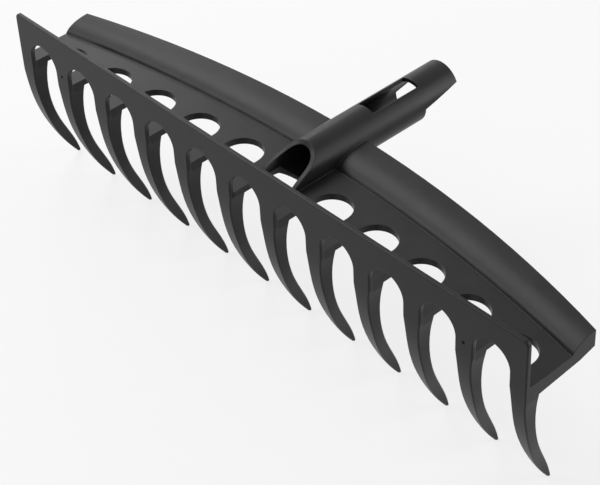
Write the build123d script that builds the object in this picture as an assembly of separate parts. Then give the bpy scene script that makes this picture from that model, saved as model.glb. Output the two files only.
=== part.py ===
from build123d import *
import math
import os

os.makedirs("parts", exist_ok=True)

# A garden rake head moulded in one piece: a straight comb of curved tines under an upright
# plate, a flat web behind the plate, a levelling blade along the rear edge and a handle socket
# that lies along the middle. X runs along the comb, Y points back along the handle, Z is up.
# While it is drawn, the origin is at the middle of the plate's top front edge.

# Comb
tine_count = 12
tine_pitch = 37.0
end_overhang = 5.2
plate_thickness = 2.6
plate_corner_radius = 3.0
web_top_depth = 31.5
web_thickness = 4.2
arch_radius = 12.4
arch_centre_depth = 26.8
edge_bevel = 0.6

# One tine, from its root at the underside of the web down to its tip
tine_length = 81.7
tine_waist_drop = 11.0
tine_waist_half_width = 4.85
tine_middle_drop = 28.0
tine_middle_half_width = 4.5
tine_taper_above_neck = 16.5
tine_taper_half_width = 3.55
tine_neck_above_tip = 20.7
tine_neck_half_width = 1.6
tine_tip_half_width = 0.9
tine_point_above_tip = 7.7
tine_root_depth = 11.5
tine_waist_depth = 9.7
tine_middle_depth = 7.5
tine_taper_depth = 7.0
tine_neck_depth = 7.3
tine_point_depth = 5.3
tine_tip_depth = 1.8
tine_front_radius = 135.0

# Slots in the web, one behind each gap of the comb
slot_radius = 12.75
slot_centre_back = 31.7
slot_row_radius = 1210.0
middle_slot_radius = 11.8

# Levelling blade: an inverted channel along the rear edge
fold_back = 57.3
fold_row_radius = 960.0
blade_back = 81.9
blade_row_radius = 745.0
blade_rise = 7.0
blade_shoulder_back = 5.0
blade_shoulder_rise = 4.15
blade_start_angle = 62.0
blade_end_angle = 3.0
blade_wall = 3.0

# A rib under each end of the web, from the end tine back to the blade
end_rib_width = 3.0
end_rib_front_drop = 5.3
end_rib_back_drop = 2.6
end_rib_knee_back = 41.0

# Handle socket
socket_axis_depth = 27.75
socket_outer_radius = 13.7
socket_bore_radius = 11.2
socket_step_back = 130.2
socket_end_back = 157.1
socket_step_drop = 0.2
socket_lip_rise = 5.4
mouth_start_back = 22.9
mouth_level_back = 26.6
mouth_middle_back = 39.7
mouth_middle_rise = 6.1
mouth_top_back = 48.7
window_start_back = 94.1
window_length = 37.1
window_half_width = 6.3

# Two small round pits in the plate, above the tines next to the ends
pit_radius = 1.1
pit_depth = 0.8
pit_drop = 26.8

half_length = tine_pitch * (tine_count - 1) / 2 + end_overhang
web_bottom_depth = web_top_depth + web_thickness
tine_root_half_width = tine_pitch / 2 - arch_radius
tip_depth = web_bottom_depth + tine_length
tine_neck_drop = tine_length - tine_neck_above_tip
tine_taper_drop = tine_neck_drop - tine_taper_above_neck
tine_point_drop = tine_length - tine_point_above_tip
tine_places = [(i - (tine_count - 1) / 2) * tine_pitch for i in range(tine_count)]
gap_places = [(a + b) / 2 for a, b in zip(tine_places, tine_places[1:])]


def row_sag(radius, x):
    return radius - math.sqrt(radius**2 - x**2)


def front_at(drop):
    return tine_front_radius - math.sqrt(tine_front_radius**2 - drop**2)


def across_x(face_yz, half_width):
    return extrude(face_yz, half_width, dir=(1, 0, 0), both=True)


def column(face_xy, low, high):
    return extrude(face_xy.moved(Location((0, 0, low))), high - low, dir=(0, 0, 1))


def tine():
    half_widths = [
        (0, tine_root_half_width),
        (tine_waist_drop, tine_waist_half_width),
        (tine_middle_drop, tine_middle_half_width),
        (tine_taper_drop, tine_taper_half_width),
        (tine_neck_drop, tine_neck_half_width),
        (tine_length - tine_tip_half_width, tine_tip_half_width),
    ]
    right = [(w, -web_bottom_depth - drop) for drop, w in half_widths]
    left = [(-x, z) for x, z in reversed(right)]
    with BuildSketch(Plane.XZ) as front:
        with BuildLine():
            Spline(*right)
            ThreePointArc(right[-1], (0, -tip_depth), left[0])
            Spline(*left)
            Line(left[-1], right[0])
        make_face()
    depths = [
        (0, tine_root_depth),
        (tine_waist_drop, tine_waist_depth),
        (tine_middle_drop, tine_middle_depth),
        (tine_taper_drop, tine_taper_depth),
        (tine_neck_drop, tine_neck_depth),
        (tine_point_drop, tine_point_depth),
        (tine_length, tine_tip_depth),
    ]
    back = [(front_at(drop) + depth, -web_bottom_depth - drop) for drop, depth in depths]
    half_way = tine_length / 2
    with BuildSketch(Plane.YZ) as side:
        with BuildLine():
            Spline(*back)
            Line(back[-1], (front_at(tine_length), -tip_depth))
            ThreePointArc(
                (front_at(tine_length), -tip_depth),
                (front_at(half_way), -web_bottom_depth - half_way),
                (0, -web_bottom_depth),
            )
            Line((0, -web_bottom_depth), back[0])
        make_face()
    reach = back[-1][0] + tine_root_depth
    outline = extrude(front.sketch, reach, dir=(0, 1, 0), both=True)
    blank = outline & across_x(side.sketch, 2 * tine_root_half_width)
    corners = [edge for edge in blank.edges() if edge.length > tine_length and edge.center().X]
    return chamfer(corners, edge_bevel)


def plate():
    with BuildSketch(Plane.XZ) as face:
        with Locations((0, -web_bottom_depth / 2)):
            Rectangle(2 * half_length, web_bottom_depth)
        top_corners = face.vertices().group_by(Axis.Y)[-1]
        fillet(top_corners, plate_corner_radius)
        for x in gap_places:
            with Locations((x, -arch_centre_depth)):
                Circle(arch_radius, mode=Mode.SUBTRACT)
            with Locations((x, -(arch_centre_depth + web_bottom_depth) / 2)):
                Rectangle(2 * arch_radius, web_bottom_depth - arch_centre_depth, mode=Mode.SUBTRACT)
    blank = extrude(face.sketch, plate_thickness, dir=(0, 1, 0))
    front_edges = blank.edges().group_by(Axis.Y)[0]
    above_tines = [edge for edge in front_edges if edge.center().Z > edge_bevel - web_bottom_depth]
    return chamfer(above_tines, edge_bevel)


def plan(back, row_radius, front=0.0, inset=0.0):
    corner = back - row_sag(row_radius, half_length)
    reach = half_length - inset
    with BuildSketch() as face:
        with BuildLine():
            ThreePointArc((-half_length, corner), (0, back), (half_length, corner))
            Polyline(
                (half_length, corner),
                (half_length, front),
                (-half_length, front),
                (-half_length, corner),
            )
        make_face()
        if inset:
            Rectangle(2 * reach, 4 * back, mode=Mode.INTERSECT)
    return face.sketch


def blade_section(inset):
    start = Vector(inset * math.sin(math.radians(blade_start_angle)), 0)
    width = blade_back - fold_back
    shoulder_angle = math.atan2(blade_rise - blade_shoulder_rise, width / 2 - blade_shoulder_back)
    lean = [
        math.radians(blade_start_angle),
        shoulder_angle,
        math.radians(blade_end_angle),
    ]
    outer = [(0, 0), (blade_shoulder_back, blade_shoulder_rise), (width, blade_rise)]
    curve = [
        (fold_back + y + inset * math.sin(a), -web_top_depth + z - inset * math.cos(a))
        for (y, z), a in zip(outer, lean)
    ]
    with BuildSketch(Plane.YZ) as face:
        with BuildLine():
            Spline(*curve, tangents=[(math.cos(lean[0]), math.sin(lean[0])), (math.cos(lean[2]), math.sin(lean[2]))])
            far = fold_back + 2 * width
            Polyline(
                curve[-1],
                (far, curve[-1][1]),
                (far, -web_bottom_depth - inset),
                (curve[0][0], -web_bottom_depth - inset),
                curve[0],
            )
        make_face()
    return face.sketch


def blade_solid(inset):
    centre = Axis((0, fold_back - fold_row_radius, 0), (0, 0, 1))
    sweep_angle = math.degrees(math.asin(half_length / (fold_row_radius - fold_back))) + 1
    ring = revolve(blade_section(inset).rotate(centre, -sweep_angle), centre, 2 * sweep_angle)
    outline = plan(blade_back - inset, blade_row_radius, inset=inset)
    return ring & column(outline, -web_bottom_depth - inset, 0)


head = plate()
single_tine = tine()
end_box = Pos(0, tine_length, -tip_depth / 2) * Box(2 * half_length, 2 * tine_length, 2 * tip_depth)
end_box = chamfer(end_box.edges().filter_by(Axis.Z).group_by(Axis.Y)[0], edge_bevel)
for x in tine_places:
    head += single_tine.moved(Location((x, 0, 0))) & end_box


def end_rib():
    corner_back = blade_back - row_sag(blade_row_radius, half_length)
    lower_edge = [
        (tine_root_depth / 2, -web_bottom_depth),
        (tine_root_depth / 2, -web_bottom_depth - end_rib_front_drop),
        (end_rib_knee_back, -web_bottom_depth - end_rib_back_drop),
        (corner_back, -web_bottom_depth),
    ]
    with BuildSketch(Plane.YZ) as face:
        with BuildLine():
            Polyline(*lower_edge, lower_edge[0])
        make_face()
    return extrude(face.sketch, end_rib_width, dir=(1, 0, 0))


web_plan = plan(fold_back + blade_wall, fold_row_radius, front=plate_thickness)
web = column(web_plan, -web_bottom_depth, -web_top_depth)
blade = blade_solid(0) - blade_solid(blade_wall)

socket_axis = Plane((0, 0, -socket_axis_depth), x_dir=(1, 0, 0), z_dir=(0, 1, 0))


def rod(radius, start, end):
    return extrude(socket_axis.offset(start) * Circle(radius), end - start, dir=(0, 1, 0))


tube = rod(socket_outer_radius, mouth_start_back, socket_end_back)
rib = end_rib()
left_rib = rib.moved(Location((-half_length, 0, 0)))
right_rib = rib.moved(Location((half_length - end_rib_width, 0, 0)))
head += [web, blade, left_rib, right_rib, tube]


def side_cut(points):
    raised = [(y, z - socket_axis_depth) for y, z in points]
    with BuildSketch(Plane.YZ) as face:
        with BuildLine():
            Polyline(*raised, raised[0])
        make_face()
    return across_x(face.sketch, 2 * socket_outer_radius)


def mouth_cut():
    above = 2 * socket_outer_radius
    web_rise = socket_axis_depth - web_top_depth
    curve = [
        (mouth_start_back, web_rise),
        (mouth_level_back, 0),
        (mouth_middle_back, mouth_middle_rise),
        (mouth_top_back, socket_outer_radius),
    ]
    raised = [(y, z - socket_axis_depth) for y, z in curve]
    with BuildSketch(Plane.YZ) as face:
        with BuildLine():
            Spline(*raised)
            Polyline(
                raised[-1],
                (mouth_top_back, above - socket_axis_depth),
                (plate_thickness, above - socket_axis_depth),
                (plate_thickness, raised[0][1]),
                raised[0],
            )
        make_face()
    return across_x(face.sketch, 2 * socket_outer_radius)


head -= mouth_cut()
head -= rod(socket_bore_radius, mouth_start_back, socket_end_back)

below = -2 * socket_outer_radius
head -= side_cut([
    (socket_step_back, below),
    (socket_step_back, -socket_step_drop),
    (socket_end_back, socket_lip_rise),
    (socket_end_back, below),
])
window_middle = window_start_back + window_length / 2
head -= Pos(0, window_middle, socket_outer_radius - socket_axis_depth) * Box(
    2 * window_half_width, window_length, 2 * socket_outer_radius
)


def slot(radius, centre_back):
    with BuildSketch() as face:
        with Locations((0, centre_back)):
            Circle(radius)
        with Locations((0, (plate_thickness + centre_back) / 2)):
            Rectangle(2 * radius, centre_back - plate_thickness)
    return column(face.sketch, -socket_axis_depth - 2 * socket_outer_radius, -web_top_depth)


for x in gap_places:
    under_socket = abs(x) < tine_pitch / 2
    radius = middle_slot_radius if under_socket else slot_radius
    centre_back = slot_centre_back - row_sag(slot_row_radius, x)
    head -= slot(radius, centre_back).moved(Location((x, 0, 0)))

for x in (tine_places[1], tine_places[-2]):
    pit = Cylinder(pit_radius, 2 * pit_depth, rotation=(90, 0, 0))
    head -= pit.moved(Location((x, 0, -pit_drop)))

rake_head = head.moved(Location((0, -socket_step_back, socket_axis_depth)))
export_step(rake_head, "parts/rake_head.step")
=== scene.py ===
import bpy
import math
from mathutils import Matrix, Vector


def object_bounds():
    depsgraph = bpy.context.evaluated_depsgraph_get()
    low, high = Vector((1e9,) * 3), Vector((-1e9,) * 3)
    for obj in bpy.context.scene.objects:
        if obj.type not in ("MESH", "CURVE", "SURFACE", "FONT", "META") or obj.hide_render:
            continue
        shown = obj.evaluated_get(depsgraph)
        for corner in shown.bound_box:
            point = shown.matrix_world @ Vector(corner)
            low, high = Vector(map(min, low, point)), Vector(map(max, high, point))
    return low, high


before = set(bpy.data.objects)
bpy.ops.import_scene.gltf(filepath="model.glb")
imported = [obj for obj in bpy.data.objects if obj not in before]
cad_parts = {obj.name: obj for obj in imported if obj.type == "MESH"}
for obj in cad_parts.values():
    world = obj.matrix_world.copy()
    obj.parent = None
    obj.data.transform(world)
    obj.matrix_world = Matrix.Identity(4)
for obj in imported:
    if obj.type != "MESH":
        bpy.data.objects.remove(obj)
cad_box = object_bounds()
scene = bpy.context.scene
scene.view_settings.view_transform = "Standard"

MM = 0.001
# The frame's origin is on the socket's axis where its full round wall ends. The camera's
# place is given from the middle of the plate's top front edge.
TOP_EDGE = Vector((0.0, -130.2, 27.75)) * MM
CAMERA_OFFSET = Vector((627.85, -503.70, 614.73)) * MM
CAMERA_RIGHT = Vector((0.67861, 0.73340, -0.03995))
CAMERA_UP = Vector((-0.45195, 0.45983, 0.76438))
CAMERA_BACK = Vector((0.57897, -0.50066, 0.64350))
CAMERA_LENS = 111.46
HEAD_MIDDLE = Vector((0.0, -0.08, 0.0))
SOFTBOX_DISTANCE = 2.0


def add_camera():
    data = bpy.data.cameras.new("camera")
    data.lens = CAMERA_LENS
    data.sensor_width = 36.0
    data.clip_start = 0.01
    data.clip_end = 50.0
    camera = bpy.data.objects.new("camera", data)
    scene.collection.objects.link(camera)
    turn = Matrix((CAMERA_RIGHT, CAMERA_UP, CAMERA_BACK)).transposed().to_4x4()
    camera.matrix_world = Matrix.Translation(TOP_EDGE + CAMERA_OFFSET) @ turn
    scene.camera = camera


def add_softbox(name, azimuth, elevation, size, power):
    """Azimuth is in degrees from +Y towards -X, seen from the middle of the head."""
    turn, rise = math.radians(azimuth), math.radians(elevation)
    away = Vector((-math.sin(turn) * math.cos(rise), math.cos(turn) * math.cos(rise), math.sin(rise)))
    data = bpy.data.lights.new(name, "AREA")
    data.shape = "RECTANGLE"
    data.size = size[0]
    data.size_y = size[1]
    data.energy = power
    lamp = bpy.data.objects.new(name, data)
    scene.collection.objects.link(lamp)
    lamp.location = HEAD_MIDDLE + away * SOFTBOX_DISTANCE
    lamp.rotation_euler = away.to_track_quat("Z", "Y").to_euler()


def add(tree, kind, operation=None, **settings):
    made = tree.nodes.new("ShaderNode" + kind)
    if operation:
        made.operation = operation
    for name, value in settings.items():
        made.inputs[name.replace("_", " ")].default_value = value
    return made


def ramp(tree, source, low, high, start, end):
    made = add(tree, "MapRange")
    for name, value in zip(("From Min", "From Max", "To Min", "To Max"), (low, high, start, end)):
        made.inputs[name].default_value = value
    tree.links.new(source, made.inputs["Value"])
    return made.outputs["Result"]


def math_node(tree, operation, first, second):
    made = add(tree, "Math", operation)
    for socket, value in zip(made.inputs, (first, second)):
        if isinstance(value, (int, float)):
            socket.default_value = value
        else:
            tree.links.new(value, socket)
    return made.outputs[0]


def noise(tree, place, scale, detail):
    made = add(tree, "TexNoise", Scale=scale, Detail=detail)
    tree.links.new(place, made.inputs["Vector"])
    return made.outputs["Fac"]


def plastic():
    material = bpy.data.materials.new("black_plastic")
    material.use_nodes = True
    tree = material.node_tree
    link = tree.links.new
    shader = tree.nodes["Principled BSDF"]
    shader.inputs["IOR"].default_value = 1.5
    shader.inputs["Specular IOR Level"].default_value = 0.2
    place = add(tree, "TexCoord").outputs["Object"]

    flow = noise(tree, place, 9.0, 2.0)
    cloud = noise(tree, place, 55.0, 4.0)
    grain = noise(tree, place, 1500.0, 2.0)

    # Moulded edges are slightly round. Their colour is paler than the faces: partly rubbed wear, partly a painted
    # highlight along the edges.
    soft = add(tree, "Bevel", Radius=0.0006)
    soft.samples = 8
    flat = add(tree, "NewGeometry")
    turned = add(tree, "VectorMath", "DOT_PRODUCT")
    link(soft.outputs["Normal"], turned.inputs[0])
    link(flat.outputs["Normal"], turned.inputs[1])
    edge = ramp(tree, turned.outputs["Value"], 0.995, 0.8, 0.0, 1.0)
    rubbed_and_highlit = math_node(tree, "MULTIPLY", edge, ramp(tree, cloud, 0.4, 0.6, 0.4, 1.0))

    tone = add(tree, "ValToRGB")
    tone.color_ramp.elements[0].position = 0.35
    tone.color_ramp.elements[0].color = (0.0085, 0.0085, 0.0087, 1)
    tone.color_ramp.elements[1].position = 0.65
    tone.color_ramp.elements[1].color = (0.0125, 0.0125, 0.0128, 1)
    link(cloud, tone.inputs["Fac"])
    # Mixes in the paler edge colour: rubbed wear plus a painted edge highlight.
    worn_and_highlit = add(tree, "Mix")
    worn_and_highlit.data_type = "RGBA"
    worn_and_highlit.inputs["B"].default_value = (0.05, 0.05, 0.051, 1)
    link(tone.outputs["Color"], worn_and_highlit.inputs["A"])
    link(rubbed_and_highlit, worn_and_highlit.inputs["Factor"])
    link(worn_and_highlit.outputs["Result"], shader.inputs["Base Color"])

    gloss = math_node(tree, "ADD", ramp(tree, flow, 0.3, 0.7, 0.30, 0.36), ramp(tree, cloud, 0.3, 0.7, 0.0, 0.05))
    link(gloss, shader.inputs["Roughness"])

    waves = add(tree, "Bump", Strength=0.25, Distance=0.0004)
    link(flow, waves.inputs["Height"])
    link(soft.outputs["Normal"], waves.inputs["Normal"])
    spark = add(tree, "Bump", Strength=0.10, Distance=0.00012)
    link(grain, spark.inputs["Height"])
    link(waves.outputs["Normal"], spark.inputs["Normal"])
    link(spark.outputs["Normal"], shader.inputs["Normal"])
    return material


def white_where_seen(tree, surface, glow, amount):
    """Camera, glossy and transmission rays meet white; the light on the object stays as it is."""
    path = add(tree, "LightPath").outputs
    seen = math_node(tree, "ADD", path["Is Camera Ray"], path["Is Glossy Ray"])
    seen = math_node(tree, "MAXIMUM", seen, path["Is Transmission Ray"])
    mix = add(tree, "MixShader")
    tree.links.new(math_node(tree, "MULTIPLY", seen, amount), mix.inputs[0])
    tree.links.new(surface.outputs[0], mix.inputs[1])
    tree.links.new(glow.outputs[0], mix.inputs[2])
    return mix.outputs[0]


def white_backdrop():
    floor_material = bpy.data.materials.new("floor")
    floor_material.use_nodes = True
    tree = floor_material.node_tree
    shader = tree.nodes["Principled BSDF"]
    shader.inputs["Base Color"].default_value = (0.8, 0.8, 0.8, 1)
    shader.inputs["Roughness"].default_value = 0.9
    shader.inputs["Specular IOR Level"].default_value = 0.0
    seen = white_where_seen(tree, shader, add(tree, "Emission", Strength=1.0), 0.75)
    tree.links.new(seen, tree.nodes["Material Output"].inputs["Surface"])
    bpy.ops.mesh.primitive_plane_add(size=12, location=(0, 0, cad_box[0][2]))
    floor = bpy.context.object
    floor.name = "floor"
    floor.data.materials.append(floor_material)

    world = bpy.data.worlds.new("world")
    scene.world = world
    world.use_nodes = True
    tree = world.node_tree
    sky = tree.nodes["Background"]
    sky.inputs["Color"].default_value = (1, 1, 1, 1)
    sky.inputs["Strength"].default_value = 0.4
    white = add(tree, "Background", Color=(1, 1, 1, 1), Strength=1.0)
    seen = white_where_seen(tree, sky, white, 1.0)
    tree.links.new(seen, tree.nodes["World Output"].inputs["Surface"])


add_camera()
white_backdrop()
add_softbox("left_high", 76, 51, (0.9, 0.8), 9.0)
add_softbox("left_middle", 105, 52, (0.9, 0.8), 7.0)
add_softbox("front_left", 131, 33, (0.9, 0.8), 10.5)
add_softbox("left_back", 60, 24, (0.36, 0.42), 2.8)
add_softbox("right_back_low", -45, 8, (0.9, 0.8), 11.5)
add_softbox("right_back", -45, 30, (0.9, 0.8), 5.5)

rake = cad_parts["rake_head"]
finish = plastic()
for slot in rake.material_slots:
    slot.material = finish
if not rake.material_slots:
    rake.data.materials.append(finish)
